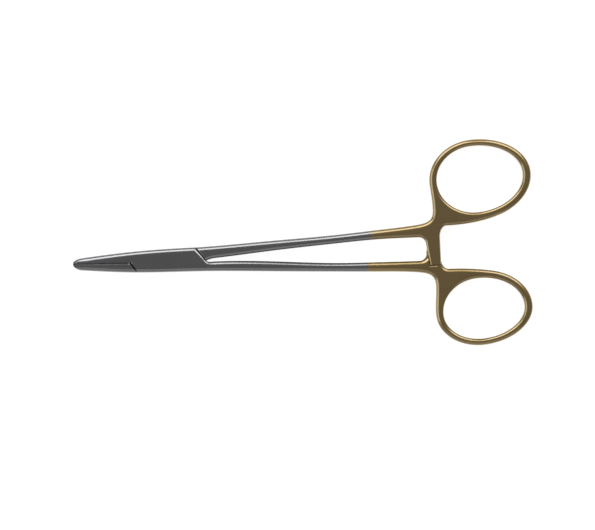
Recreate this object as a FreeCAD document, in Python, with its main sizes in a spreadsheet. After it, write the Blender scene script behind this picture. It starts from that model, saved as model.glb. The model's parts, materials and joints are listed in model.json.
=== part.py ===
# Surgical needle holder with a box lock, a three-step ratchet and finger rings, closed, lying flat.
# Origin: hinge axis at the underside of the box. +X runs to the rings, +Z is the hinge axis.
import FreeCAD, Part
import Sketcher
import math
import os

Vector = FreeCAD.Vector

# Driving sizes in millimetres and degrees. Across-the-axis sizes count from the X axis outwards.
SIZES = {
    # Box lock
    "box_thickness": 5.2,
    "box_reach": 12.2,
    "box_half_width_front": 3.35,
    "box_half_width_rear": 4.0,
    "box_flat_front": 10.0,
    "box_flat_rear": 12.5,
    "cheek_angle": 55.0,
    "cheek_edge_break": 0.35,
    "shoulder_gap": 0.25,
    "crotch_drop": 0.97,
    "crotch_x": 15.5,
    "crotch_rise": 0.15,
    "crotch_lean": 4.0,
    "tongue_thickness": 1.9,
    "tongue_width": 4.4,
    "tongue_root": 1.2,
    "tongue_lean": 6.5,
    "tongue_face_gap": 0.05,
    "tongue_side_gap": 0.3,
    "opening_angle": 38.0,
    "opening_spare": 2.0,
    "pin_radius": 1.3,
    "pin_running_gap": 0.03,
    # Jaws and their inserts
    "tip_reach": 30.9,
    "nose_length": 2.9,
    "nose_half_width": 2.02,
    "tip_half_thickness": 1.3,
    "mating_drop": 0.36,
    "mating_lean": 1.43,
    "jaw_gap": 0.08,
    "insert_thickness": 1.0,
    "insert_setback": 0.6,
    # Shanks, by stations along the X axis
    "mid_x": 34.0,
    "waist_x": 55.0,
    "flare_x": 70.0,
    "shank_end_x": 82.4,
    "mid_outer": 5.0,
    "waist_outer": 6.0,
    "male_flare_outer": 7.1,
    "female_flare_outer": 6.66,
    "male_end_outer": 8.2,
    "female_end_outer": 7.5,
    "mid_width": 3.3,
    "waist_width": 2.85,
    "flare_width": 3.15,
    "male_end_width": 4.2,
    "female_end_width": 3.84,
    "waist_half_thickness": 1.9,
    "edge_rounding": 0.9,
    # Finger rings
    "male_ring_x": 101.4,
    "male_ring_y": 22.45,
    "male_hole_root": 12.4,
    "male_hole_far": 15.85,
    "male_hole_away": 10.6,
    "male_hole_toward": 11.1,
    "female_ring_x": 101.5,
    "female_ring_y": 20.7,
    "female_hole_root": 12.15,
    "female_hole_far": 14.5,
    "female_hole_away": 9.2,
    "female_hole_toward": 10.55,
    "band_root": 2.4,
    "band_far": 2.6,
    "band_away": 2.1,
    "band_toward": 2.6,
    "ring_tilt": 5.0,
    "ring_half_thickness": 2.2,
    "web_x": 87.35,
    "web_rise": 4.7,
    "web_leave_share": 0.8,
    "male_web_inner": 7.45,
    "female_web_inner": 6.65,
    # Ratchet arms
    "arm_side_x": 89.3,
    "arm_root_width": 4.7,
    "arm_end_width": 3.5,
    "arm_reach": 5.1,
    "arm_end_gap": 0.27,
    "arm_side_gap": 0.3,
    "arm_face_gap": 0.1,
    "arm_root_radius": 1.8,
    "arm_crotch_width": 2.3,
    "arm_crotch_length": 3.7,
    "tooth_count": 3,
    "tooth_pitch": 1.6,
    "tooth_height": 0.6,
}

# The two halves carry the same names for their own shank and ring sizes.
FEMALE = "female"
MALE = "male"

# Handle length of a cubic that draws a quarter circle, as a share of the radius
ROUND = 0.5523

# Handle length of the swept corner between a shank and its ring, as a share of the corner
SWEPT = 0.7

# How fast the outer edges spread where the jaws, and then the shanks, end
JAW_SPREAD = 0.1
SHANK_SPREAD = 0.13

# How far a cutting block passes the faces that it cuts through
PAST = 1


def size(name):
    """A driving size, read back from the sheet."""
    return float(sheet.get(name))


def make_sheet(doc):
    """The spreadsheet that holds every driving size under its own name."""
    table = doc.addObject("Spreadsheet::Sheet", "Sizes")
    for row, (name, value) in enumerate(SIZES.items(), start=1):
        table.set("A%d" % row, name)
        table.set("B%d" % row, str(value))
        table.setAlias("B%d" % row, name)
    doc.recompute()
    return table


def heading(degrees):
    """Unit vector in the XY plane at an angle from +X."""
    turn = math.radians(degrees)
    return Vector(math.cos(turn), math.sin(turn), 0)


def bind(thing, bindings):
    """Ties properties of a document object to sizes of the sheet."""
    for path, formula in bindings.items():
        thing.setExpression(path, formula)
    return thing


# Curves of the flowing outlines

def spline(points, start, end):
    """Smooth curve through points that leaves along start and arrives along end."""
    curve = Part.BSplineCurve()
    curve.interpolate(Points=points, InitialTangent=start, FinalTangent=end)
    return curve.toShape()


def blend(first, leave, last, arrive):
    """Cubic that runs from first along the handle leave to last along the handle arrive."""
    curve = Part.BezierCurve()
    curve.setPoles([first, first + leave, last - arrive, last])
    return curve.toShape()


def ring_arms(half, outside):
    """Centre of a ring and its four reaches: root, away from the axis, far end and toward it."""
    side = 1 if half == MALE else -1
    centre = Vector(size(half + "_ring_x"), side * size(half + "_ring_y"), 0)
    far = heading(size("ring_tilt"))
    away = Vector(-far.y, far.x, 0) * side
    arms = []
    for name, direction in (("root", -far), ("away", away), ("far", far), ("toward", -away)):
        reach = size(half + "_hole_" + name)
        if outside:
            reach += size("band_" + name)
        arms.append(direction * reach)
    return centre, arms


def quarter(centre, first, last):
    """A quarter of an ellipse about centre, from the end of one half axis to the next."""
    return blend(centre + first, last * ROUND, centre + last, first * -ROUND)


def ring_hole(half):
    """Egg-shaped finger hole: four quarters of ellipses that share their axes."""
    centre, arms = ring_arms(half, outside=False)
    turned = arms[1:] + arms[:1]
    return Part.Wire([quarter(centre, first, last) for first, last in zip(arms, turned)])


def shank_stations(half):
    """Outer and inner edge points of a shank, each from the box to the ring, above the axis."""
    stations = [
        (size("mid_x"), size("mid_outer"), size("mid_width")),
        (size("waist_x"), size("waist_outer"), size("waist_width")),
        (size("flare_x"), size(half + "_flare_outer"), size("flare_width")),
        (size("shank_end_x"), size(half + "_end_outer"), size(half + "_end_width")),
    ]
    outer = [Vector(x, edge, 0) for x, edge, width in stations]
    inner = [Vector(x, edge - width, 0) for x, edge, width in stations]
    return outer, inner


def ring_end_edges(half, shank_outer_end, shank_inner_end):
    """Outline from the shank's outer edge round the ring, down the ratchet arm and back."""
    side = 1 if half == MALE else -1
    away = Vector(0, side, 0)
    inward = Vector(-1, 0, 0)
    centre, (root, ring_away, far, toward) = ring_arms(half, outside=True)

    # Outer web: from the shank's outer edge up the root side of the ring
    web_side = Vector(size("web_x"), shank_outer_end.y + side * size("web_rise"), 0)
    ring_root = centre + root
    corner_handle = SWEPT * (web_side.x - shank_outer_end.x)
    side_handle = abs(ring_root.y - web_side.y) / 3
    edges = [
        blend(shank_outer_end, Vector(1, SHANK_SPREAD * side, 0) * corner_handle,
              web_side, away * (SWEPT * size("web_rise"))),
        blend(web_side, away * side_handle,
              ring_root, Vector(ring_away).normalize() * side_handle),
    ]

    # Round the outside of the ring to the side that faces the other ring
    edges.append(quarter(centre, root, ring_away))
    edges.append(quarter(centre, ring_away, far))
    last_quarter = quarter(centre, far, toward).Curve
    last_quarter.segment(0, size("web_leave_share"))
    edges.append(last_quarter.toShape())
    ring_leave = last_quarter.value(1)
    leave_heading = last_quarter.tangent(1)[0]

    # Inner web and crotch
    crotch_width = size("arm_crotch_width")
    crotch_length = size("arm_crotch_length")
    arm_x = size("arm_side_x")
    web_inner = Vector(arm_x + crotch_width, side * size(half + "_web_inner"), 0)
    crotch_end = Vector(arm_x, web_inner.y - side * crotch_length, 0)
    web_handle = (ring_leave.x - web_inner.x) / 3
    edges.append(blend(ring_leave, leave_heading * web_handle,
                       web_inner, inward * web_handle))
    edges.append(blend(web_inner, inward * (ROUND * crotch_width),
                       crotch_end, away * (-ROUND * crotch_length)))

    # Ratchet arm, made long here and trimmed straight afterwards
    half_end = size("arm_end_width") / 2
    foot = -side * (size("arm_reach") + half_end)
    foot_right = Vector(arm_x, foot, 0)
    foot_left = Vector(arm_x - 2 * half_end, foot, 0)
    foot_mid = Vector(arm_x - half_end, foot - side * half_end, 0)
    root_radius = size("arm_root_radius")
    root_left = Vector(arm_x - size("arm_root_width"), shank_inner_end.y - side * root_radius, 0)
    arm_heading = (root_left - foot_left).normalize()
    edges.append(Part.LineSegment(crotch_end, foot_right).toShape())
    edges.append(Part.Arc(foot_right, foot_mid, foot_left).toShape())
    edges.append(Part.LineSegment(foot_left, root_left).toShape())
    edges.append(blend(root_left, arm_heading * (ROUND * root_radius),
                       shank_inner_end, inward * (ROUND * root_radius)))
    return edges


def box_half_width(x):
    """Distance from the axis to the box's edge; the box widens evenly towards the shanks."""
    reach = size("box_reach")
    front = size("box_half_width_front")
    rear = size("box_half_width_rear")
    return front + (rear - front) * (x + reach) / (2 * reach)


def on_axis_side(x, y, side):
    """A plan point above the axis, or the one mirrored below it."""
    return Vector(x, side * y, 0)


def nose_edges(first_side):
    """Round nose of the closed jaws, from one outer edge through the tip to the other."""
    back = size("tip_reach") - size("nose_length")
    rise = (size("tip_reach") - size("box_reach")) * math.tan(math.radians(size("mating_lean")))
    tip = Vector(-size("tip_reach"), rise - size("mating_drop"), 0)
    half_width = size("nose_half_width")
    along = ROUND * size("nose_length")
    across = half_width / 2
    start = on_axis_side(-back, half_width, first_side)
    finish = on_axis_side(-back, half_width, -first_side)
    swing = Vector(0, -first_side * across, 0)
    return [
        blend(start, Vector(-1, -JAW_SPREAD * first_side, 0) * along, tip, swing),
        blend(tip, swing, finish, Vector(1, -JAW_SPREAD * first_side, 0) * along),
    ]


def front_points(side):
    """Outer edge points of a jaw: where its nose ends and where the box begins."""
    back = size("tip_reach") - size("nose_length")
    return [
        on_axis_side(-back, size("nose_half_width"), side),
        on_axis_side(-size("box_reach"), size("box_half_width_front"), side),
    ]


def outline_face(half):
    """Plan of one half's forging, with the closed jaws' nose and the whole box."""
    side = 1 if half == MALE else -1
    outer, inner = shank_stations(half)
    outer = [on_axis_side(p.x, p.y, side) for p in outer]
    inner = [on_axis_side(p.x, p.y, side) for p in inner]
    jaw_heading = Vector(1, JAW_SPREAD * side, 0)
    end_heading = Vector(1, SHANK_SPREAD * side, 0)
    box_rear = on_axis_side(size("box_reach"), size("box_half_width_rear"), side)
    own_edge = front_points(side) + [box_rear] + outer
    edges = [spline(own_edge, jaw_heading, end_heading)]
    edges += ring_end_edges(half, outer[-1], inner[-1])
    box_edge, crotch, crotch_heading = box_closing_edges(half)
    edges.append(spline(inner[::-1] + [crotch], Vector(-1, 0, 0), crotch_heading))
    edges += box_edge
    far_edge_end = box_edge[-1].Vertexes[-1].Point
    edges.append(spline([far_edge_end] + front_points(-side)[::-1],
                        Vector(-1, 0, 0), Vector(-1, JAW_SPREAD * side, 0)))
    edges += nose_edges(-side)
    outside = Part.Wire(edges)
    return Part.makeFace([outside, ring_hole(half)], "Part::FaceMakerBullseye")


def box_closing_edges(half):
    """Edges that lead from the crotch between the shanks back onto the box's far side."""
    slope = heading(-size("cheek_angle"))
    if half == MALE:
        # The tongue's side: runs in under the cheeks, where only the tongue is kept
        crotch = Vector(size("crotch_x"), size("crotch_rise"), 0)
        crotch_heading = heading(180 + size("crotch_lean"))
        landing_x = size("box_reach") / 3
        landing = Vector(landing_x, -box_half_width(landing_x), 0)
        handle = (crotch.x - landing_x) / 3
        edge = blend(crotch, crotch_heading * handle, landing, Vector(-handle, 0, 0))
        return [edge], crotch, crotch_heading
    # The cheeks' side: stands off the cheek edge, which is cut straight afterwards
    rounding = size("edge_rounding")
    stand_off = 1.5 * rounding
    half_way = size("box_half_width_rear") / 2
    base = Vector(size("box_reach") + stand_off, 0, 0)
    low = base + slope * (rounding / 4)
    high = base - slope * half_way
    crotch = Vector(size("crotch_x"), -size("crotch_drop"), 0)
    landing_x = high.x - half_way
    landing = Vector(landing_x, box_half_width(landing_x), 0)
    edges = [
        blend(crotch, Vector(-rounding, 0, 0), low, slope * -rounding),
        Part.LineSegment(low, high).toShape(),
        blend(high, slope * -stand_off, landing, Vector(-stand_off, 0, 0)),
    ]
    return edges, crotch, Vector(-1, 0, 0)


def side_profile():
    """Side view of both halves: tapered jaws, a flat box, thin shanks and even rings."""
    middle = size("box_thickness") / 2
    tip_x = -size("tip_reach") - PAST
    far_x = size("male_ring_x") + 2 * size("male_hole_far")
    flat_front = Vector(-size("box_flat_front"), 0, middle)
    flat_rear = Vector(size("box_flat_rear"), 0, middle)
    ring_front = Vector(size("shank_end_x"), 0, size("ring_half_thickness"))
    waist = Vector(size("waist_x"), 0, size("waist_half_thickness"))
    tip = Vector(tip_x, 0, size("tip_half_thickness"))
    far = Vector(far_x, 0, size("ring_half_thickness"))
    level = Vector(1, 0, 0)
    taper = (flat_front.x - tip_x) / 3
    climb = (flat_front - tip).normalize() * taper
    top = [
        blend(tip, climb, flat_front, level * taper),
        Part.LineSegment(flat_front, flat_rear).toShape(),
        spline([flat_rear, waist, ring_front], level, level),
        Part.LineSegment(ring_front, far).toShape(),
    ]
    bottom = [edge.mirror(Vector(), Vector(0, 0, 1)) for edge in top]
    ends = [
        Part.LineSegment(tip, Vector(tip.x, 0, -tip.z)).toShape(),
        Part.LineSegment(far, Vector(far.x, 0, -far.z)).toShape(),
    ]
    wire = Part.Wire(Part.__sortEdges__(top + bottom + ends))
    wire.translate(Vector(0, 0, middle))
    return Part.Face(wire)


# Building blocks of the document

def shape_feature(name, shape):
    """A drawn curve or face, held as a document object."""
    feature = doc.addObject("Part::Feature", name)
    feature.Shape = shape
    return feature


def extrusion(name, base, direction, forward, backward="0"):
    """Straight extrusion whose lengths follow the sheet."""
    solid = doc.addObject("Part::Extrusion", name)
    solid.Base = base
    solid.DirMode = "Custom"
    solid.Dir = direction
    solid.Solid = True
    return bind(solid, {"LengthFwd": forward, "LengthRev": backward})


def boolean(kind, name, shapes):
    """A boolean of several objects: MultiFuse or MultiCommon."""
    result = doc.addObject("Part::" + kind, name)
    result.Shapes = shapes
    return result


def cut(name, base, tool):
    """The base with the tool's space taken out."""
    result = doc.addObject("Part::Cut", name)
    result.Base = base
    result.Tool = tool
    return result


def half_space(name, x, y, angle, reach):
    """Block that fills one side of an upright plane: the left of a line through x, y at angle."""
    block = doc.addObject("Part::Box", name)
    return bind(block, {
        "Length": "2 * (%s)" % reach,
        "Width": reach,
        "Height": "Sizes.box_thickness + 2 * %g" % PAST,
        "Placement.Base.x": "(%s) - (%s) * cos(%s)" % (x, reach, angle),
        "Placement.Base.y": "(%s) - (%s) * sin(%s)" % (y, reach, angle),
        "Placement.Base.z": "-%g" % PAST,
        "Placement.Rotation.Angle": angle,
    })


def bore(name, radius):
    """Cylinder on the hinge axis that passes both cheeks."""
    hole = doc.addObject("Part::Cylinder", name)
    return bind(hole, {
        "Radius": radius,
        "Height": "Sizes.box_thickness + 2 * %g" % PAST,
        "Placement.Base.z": "-%g" % PAST,
    })


def rounded_blank(half):
    """One half's forging before it is split: its plan, its side view and its rounded edges."""
    outline = shape_feature(half + "_outline", outline_face(half))
    plate = extrusion(half + "_plate", outline, Vector(0, 0, 1), "Sizes.box_thickness")
    profile = shape_feature(half + "_side_profile", side_profile())
    across = "Sizes.male_ring_y + 2 * Sizes.male_hole_far"
    slab = extrusion(half + "_side_slab", profile, Vector(0, 1, 0), across, across)
    forging = boolean("MultiCommon", half + "_forging", [plate, slab])
    doc.recompute()
    rounded = doc.addObject("Part::Fillet", half + "_rounded")
    rounded.Base = forging
    radius = size("edge_rounding")
    walls = Part.Compound(outline.Shape.Edges)
    rounded.Edges = [(index, radius, radius)
                     for index, edge in enumerate(forging.Shape.Edges, start=1)
                     if is_rim(edge, walls)]
    return rounded


def is_rim(edge, walls):
    """True for an edge that runs along the outline, rather than up it or across the face."""
    middle = edge.valueAt((edge.FirstParameter + edge.LastParameter) / 2)
    along = edge.tangentAt((edge.FirstParameter + edge.LastParameter) / 2)
    foot = Part.Vertex(middle.x, middle.y, 0)
    return abs(along.z) < 0.9 and foot.distToShape(walls)[0] < 0.001


# Lines that both halves share, as formulas on the sheet

MATING_Y = "-Sizes.mating_drop"
MATING_X = "-Sizes.box_reach"
MATING_BACK = "180 - Sizes.mating_lean"
FRONT_CHEEK = "180 - Sizes.cheek_angle"
REAR_CHEEK = "-Sizes.cheek_angle"
WINDOW = "(Sizes.opening_angle + Sizes.opening_spare)"
BAND_HALF = "(Sizes.tongue_width / 2 + Sizes.tongue_side_gap)"
JAW_SPACE_REACH = "Sizes.tip_reach"
MIDDLE = "Sizes.box_thickness / 2"


def window_sector(name, side):
    """Half of the slot that the tongue swings in: a flat pie slice whose point lies past the pin."""
    apex = "(%s / sin(%s / 2))" % (BAND_HALF, WINDOW)
    bisector = "(Sizes.tongue_lean + %s / 2)" % WINDOW
    slot = "(Sizes.tongue_thickness + 2 * Sizes.tongue_face_gap)"
    turn = "Sizes.tongue_lean" if side > 0 else "Sizes.tongue_lean + 180"
    sector = doc.addObject("Part::Cylinder", name)
    return bind(sector, {
        "Radius": "Sizes.box_reach + %s + %g" % (apex, PAST),
        "Angle": WINDOW,
        "Height": slot,
        "Placement.Base.x": "%d * %s * cos(%s)" % (-side, apex, bisector),
        "Placement.Base.y": "%d * %s * sin(%s)" % (-side, apex, bisector),
        "Placement.Base.z": "%s - %s / 2" % (MIDDLE, slot),
        "Placement.Rotation.Angle": turn,
    })


def tongue():
    """The thin middle of the male half that passes through the box and turns on the pin."""
    length = "(2 * (Sizes.box_reach + Sizes.tongue_root))"
    lean = "Sizes.tongue_lean"
    band = doc.addObject("Part::Box", "tongue_band")
    bind(band, {
        "Length": length,
        "Width": "Sizes.tongue_width",
        "Height": "Sizes.tongue_thickness",
        "Placement.Base.x": "-%s / 2 * cos(%s) + Sizes.tongue_width / 2 * sin(%s)"
                            % (length, lean, lean),
        "Placement.Base.y": "-%s / 2 * sin(%s) - Sizes.tongue_width / 2 * cos(%s)"
                            % (length, lean, lean),
        "Placement.Base.z": "%s - Sizes.tongue_thickness / 2" % MIDDLE,
        "Placement.Rotation.Angle": lean,
    })
    under_jaw = half_space("tongue_clears_upper_jaw", MATING_X,
                           MATING_Y + " - Sizes.jaw_gap", "225", "2 * Sizes.tip_reach")
    return boolean("MultiCommon", "tongue", [band, under_jaw])


def insert_block(name, side):
    """Block that a jaw insert fills inside the jaw, flush with the mating face."""
    block = doc.addObject("Part::Box", name)
    root_x = "(-Sizes.box_reach - Sizes.insert_setback)"
    root_y = "(%s + Sizes.insert_setback * tan(Sizes.mating_lean) %s Sizes.jaw_gap / 2)" % (
        MATING_Y, "+" if side > 0 else "-")
    start_x = root_x
    start_y = root_y
    angle = MATING_BACK
    if side > 0:
        start_x = root_x + " - Sizes.tip_reach * cos(Sizes.mating_lean)"
        start_y = root_y + " + Sizes.tip_reach * sin(Sizes.mating_lean)"
        angle = "-Sizes.mating_lean"
    return bind(block, {
        "Length": "Sizes.tip_reach",
        "Width": "Sizes.insert_thickness",
        "Height": "Sizes.box_thickness",
        "Placement.Base.x": start_x,
        "Placement.Base.y": start_y,
        "Placement.Rotation.Angle": angle,
    })


def edge_breaks(name, end, start, length):
    """Bevels that break both edges of the cheeks' end: end is 1 at the shanks, -1 at the jaws."""
    slope = heading(-size("cheek_angle"))
    outward = Vector(-slope.y, slope.x, 0) * end
    bevel = size("cheek_edge_break")
    breaks = []
    for face, level in (("front", size("box_thickness")), ("back", 0)):
        up = Vector(0, 0, 1 if level else -1)
        edge = Vector(end * size("box_reach"), 0, level) + slope * start
        # The triangle's long side crosses both faces one bevel from the edge
        corner = edge + (outward + up) * bevel
        corners = [corner, corner - outward * 3 * bevel, corner - up * 3 * bevel, corner]
        section = shape_feature("%s_%s_section" % (name, face),
                                Part.Face(Part.makePolygon(corners)))
        breaks.append(extrusion("%s_%s" % (name, face), section, slope, length))
    return breaks


def arm_cuts(half):
    """Takes the half thickness off at the arm, trims its end and cuts the ratchet teeth."""
    side = 1 if half == MALE else -1
    left = ("(Sizes.arm_side_x - (Sizes.arm_end_width + Sizes.arm_root_width) / 2"
            " - Sizes.arm_side_gap)")
    # The arm keeps the half of the thickness that faces away from the other arm
    depth = "(Sizes.box_thickness / 2 + Sizes.arm_face_gap / 2)"
    level = "0" if side > 0 else "%s - Sizes.arm_face_gap / 2" % MIDDLE
    ledge = "(Sizes.arm_reach + Sizes.arm_end_gap)"
    relief_low = "-2 * " + ledge if side > 0 else "-" + ledge
    relief = doc.addObject("Part::Box", half + "_arm_relief")
    bind(relief, {
        "Length": "2 * Sizes.arm_root_width",
        "Width": "3 * " + ledge,
        "Height": depth,
        "Placement.Base.x": left,
        "Placement.Base.y": relief_low,
        "Placement.Base.z": level,
    })
    trim = doc.addObject("Part::Box", half + "_arm_trim")
    bind(trim, {
        "Length": "2 * Sizes.arm_root_width",
        "Width": "2 * " + ledge,
        "Height": "Sizes.box_thickness",
        "Placement.Base.x": left,
        "Placement.Base.y": "-Sizes.arm_reach - 2 * %s" % ledge if side > 0
                            else "Sizes.arm_reach",
    })
    root_relief = doc.addObject("Part::Box", half + "_arm_root_relief")
    root_line = "(Sizes.%s_end_outer - Sizes.%s_end_width - Sizes.arm_root_radius)" % (half, half)
    bind(root_relief, {
        "Length": "2 * Sizes.arm_root_width",
        "Width": "3 * " + ledge,
        "Height": depth,
        "Placement.Base.x": "Sizes.arm_side_x - Sizes.arm_root_width - Sizes.arm_side_gap",
        "Placement.Base.y": "%s - 3 * %s" % (root_line, ledge) if side > 0
                            else "-" + root_line,
        "Placement.Base.z": level,
    })
    return [relief, root_relief, trim, tooth_spaces(half, side, left)]


def tooth_spaces(half, side, left):
    """Saw-tooth grooves across the arm's inner face, with their upright faces against opening."""
    count = int(size("tooth_count"))
    pitch = size("tooth_pitch")
    face = size("box_thickness") / 2 + side * size("arm_face_gap") / 2
    points = [Vector(0, -side * pitch * count / 2, face - side * size("arm_face_gap"))]
    for tooth in range(count):
        foot = pitch * (tooth - count / 2)
        points.append(Vector(0, side * foot, face + side * size("tooth_height")))
        points.append(Vector(0, side * (foot + pitch), face))
    points.append(Vector(0, side * pitch * count / 2, face - side * size("arm_face_gap")))
    outline = Part.Face(Part.makePolygon(points + points[:1]))
    profile = shape_feature(half + "_tooth_profile", outline)
    bind(profile, {"Placement.Base.x": left})
    return extrusion(half + "_tooth_spaces", profile, Vector(1, 0, 0),
                     "2 * Sizes.arm_root_width")


# The five pieces

def make_pin():
    """Box pin: a plain round rivet, ground flush with both cheeks."""
    body = doc.addObject("PartDesign::Body", "box_pin")
    base_plane = next(plane for plane in body.Origin.OriginFeatures
                      if plane.Role == "XY_Plane")
    circle = body.newObject("Sketcher::SketchObject", "pin_section")
    circle.AttachmentSupport = (base_plane, "")
    circle.MapMode = "FlatFace"
    circle.addGeometry(Part.Circle(Vector(), Vector(0, 0, 1), size("pin_radius")), False)
    circle.addConstraint(Sketcher.Constraint("Coincident", 0, 3, -1, 1))
    circle.addConstraint(Sketcher.Constraint("Radius", 0, size("pin_radius")))
    circle.setExpression("Constraints[1]", "Sizes.pin_radius")
    length = body.newObject("PartDesign::Pad", "pin_length")
    length.Profile = circle
    length.setExpression("Length", "Sizes.box_thickness")
    return body


def make_female(blank):
    """Female half and its insert: upper jaw, both cheeks, lower shank, lower ring, rear arm."""
    under_mating = half_space("under_mating_line", MATING_X, MATING_Y + " + Sizes.jaw_gap / 2",
                              MATING_BACK, JAW_SPACE_REACH)
    before_cheek = half_space("before_front_cheek", MATING_X, "0", FRONT_CHEEK, JAW_SPACE_REACH)
    lower_jaw_space = boolean("MultiCommon", "lower_jaw_space", [under_mating, before_cheek])
    behind_cheek = half_space("behind_rear_cheek", "Sizes.box_reach", "0", REAR_CHEEK,
                              "1.5 * Sizes.box_reach")
    over_shank = half_space("over_lower_shank", "0", "-Sizes.crotch_drop", "0",
                            "3 * Sizes.box_reach")
    upper_shank_space = boolean("MultiCommon", "upper_shank_space", [behind_cheek, over_shank])
    cuts = [
        lower_jaw_space,
        upper_shank_space,
        window_sector("window_rear", 1),
        window_sector("window_front", -1),
        bore("cheek_bore", "Sizes.pin_radius"),
    ]
    steep = math.sin(math.radians(size("cheek_angle")))
    above = 1.5 * size("box_half_width_rear") / steep
    cuts += edge_breaks("rear_cheek_break", 1, -above,
                        "%.4f + Sizes.crotch_drop / sin(Sizes.cheek_angle)" % above)
    cuts += edge_breaks("front_cheek_break", -1, size("mating_drop") / steep,
                        "2 * Sizes.box_half_width_front")
    cuts += arm_cuts(FEMALE)
    seat = insert_block("upper_insert_seat", 1)
    forged = cut("female_half", blank, boolean("MultiFuse", "female_cuts", cuts + [seat]))
    insert = boolean("MultiCommon", "upper_jaw_insert", [blank, insert_block("upper_slab", 1)])
    return forged, insert


def make_male(blank):
    """Male half and its insert: lower jaw, tongue, upper shank, upper ring, front arm."""
    under_mating = half_space("lower_jaw_face", MATING_X, MATING_Y + " - Sizes.jaw_gap / 2",
                              MATING_BACK, JAW_SPACE_REACH)
    shoulder_x = "-Sizes.box_reach - Sizes.shoulder_gap / sin(Sizes.cheek_angle)"
    before_cheek = half_space("lower_jaw_shoulder", shoulder_x, "0", FRONT_CHEEK,
                              JAW_SPACE_REACH)
    jaw = boolean("MultiCommon", "lower_jaw_block", [under_mating, before_cheek])
    shank_x = "Sizes.box_reach + Sizes.shoulder_gap / sin(Sizes.cheek_angle)"
    shank = half_space("upper_shank_block", shank_x, "0", REAR_CHEEK,
                       "Sizes.male_ring_x + 2 * Sizes.male_hole_far")
    kept = boolean("MultiFuse", "male_blocks", [jaw, shank, tongue()])
    split = boolean("MultiCommon", "male_split", [blank, kept])
    cuts = [bore("tongue_bore", "Sizes.pin_radius + Sizes.pin_running_gap")]
    cuts += arm_cuts(MALE)
    seat = insert_block("lower_insert_seat", -1)
    forged = cut("male_half", split, boolean("MultiFuse", "male_cuts", cuts + [seat]))
    insert = boolean("MultiCommon", "lower_jaw_insert", [blank, insert_block("lower_slab", -1)])
    return forged, insert


def check_document(pieces):
    """Stops the build if anything in the document failed or a piece has no sound shape."""
    for thing in doc.Objects:
        if "Invalid" in thing.State or "Error" in thing.State:
            raise RuntimeError("%s failed: %s" % (thing.Name, thing.State))
    for piece in pieces:
        shape = piece.Shape
        if shape.isNull() or not shape.isValid() or not shape.Solids:
            raise RuntimeError("%s has no sound shape" % piece.Label)
        print("%-18s solids %d volume %.2f" % (piece.Label, len(shape.Solids), shape.Volume))


doc = FreeCAD.newDocument("needle_holder")
sheet = make_sheet(doc)
female_half, upper_jaw_insert = make_female(rounded_blank(FEMALE))
male_half, lower_jaw_insert = make_male(rounded_blank(MALE))
pieces = [female_half, male_half, make_pin(), upper_jaw_insert, lower_jaw_insert]
doc.recompute()
check_document(pieces)
os.makedirs("parts", exist_ok=True)
for piece in pieces:
    piece.Shape.exportStep("parts/%s.step" % piece.Label)
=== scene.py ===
"""Surgical needle holder: finished forgings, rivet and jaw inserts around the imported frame.

Pieces are modelled in millimetres about the middle of the thickness, and finish_piece turns them
into metres in the frame's own place.
"""

import json
from contextlib import contextmanager
from math import ceil, cos, pi, radians, sin, tan

import bmesh
import bpy
import numpy as np
from mathutils import Matrix, Vector


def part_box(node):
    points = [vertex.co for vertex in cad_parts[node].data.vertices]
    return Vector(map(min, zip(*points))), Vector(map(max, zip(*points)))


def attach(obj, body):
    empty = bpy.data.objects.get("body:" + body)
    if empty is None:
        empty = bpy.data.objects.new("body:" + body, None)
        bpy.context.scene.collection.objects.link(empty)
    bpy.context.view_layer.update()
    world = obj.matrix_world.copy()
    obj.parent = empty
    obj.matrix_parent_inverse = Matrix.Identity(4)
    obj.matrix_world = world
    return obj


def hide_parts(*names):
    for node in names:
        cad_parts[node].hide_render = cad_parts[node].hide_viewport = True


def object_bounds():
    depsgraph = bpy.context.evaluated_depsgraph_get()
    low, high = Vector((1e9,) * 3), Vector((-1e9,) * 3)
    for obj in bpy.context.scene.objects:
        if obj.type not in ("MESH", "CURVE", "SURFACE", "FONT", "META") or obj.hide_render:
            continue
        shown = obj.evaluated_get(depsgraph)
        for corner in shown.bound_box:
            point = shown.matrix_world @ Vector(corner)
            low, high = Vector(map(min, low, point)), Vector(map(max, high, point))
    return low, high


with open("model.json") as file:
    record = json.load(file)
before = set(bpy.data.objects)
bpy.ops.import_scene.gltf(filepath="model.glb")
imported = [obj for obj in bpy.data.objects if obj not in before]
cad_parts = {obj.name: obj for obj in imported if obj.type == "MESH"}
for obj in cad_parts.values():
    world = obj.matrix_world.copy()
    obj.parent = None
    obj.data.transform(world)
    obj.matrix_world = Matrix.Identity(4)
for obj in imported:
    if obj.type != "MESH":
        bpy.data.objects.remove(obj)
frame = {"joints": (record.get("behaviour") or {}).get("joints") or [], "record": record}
cad_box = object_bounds()

bl_info = {
    "name": "Surgical needle holder",
    "version": (1, 0, 0),
    "blender": (4, 5, 0),
    "location": "View3D > Sidebar > Needle holder",
    "description": "Models and finishes a box-lock needle holder around its fixed frame",
    "category": "Object",
}

MM = 0.001
FEMALE = "female"
MALE = "male"

# Sizes that the frame gives, in millimetres
mounts = {mount["name"]: Vector(mount["pos_m"]) / MM for mount in frame["record"]["mounts"]}
hinge = frame["joints"][0]
female_low, female_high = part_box("female_half")
MIDDLE = hinge["pos_m"][2] / MM
HALF_BOX = (female_high.z - female_low.z) / 2 / MM
TIP_REACH = -cad_box[0][0] / MM
RING = {MALE: mounts["male_finger_ring"].to_2d(), FEMALE: mounts["female_finger_ring"].to_2d()}
OPENING = hinge["range_deg"][1]

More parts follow.
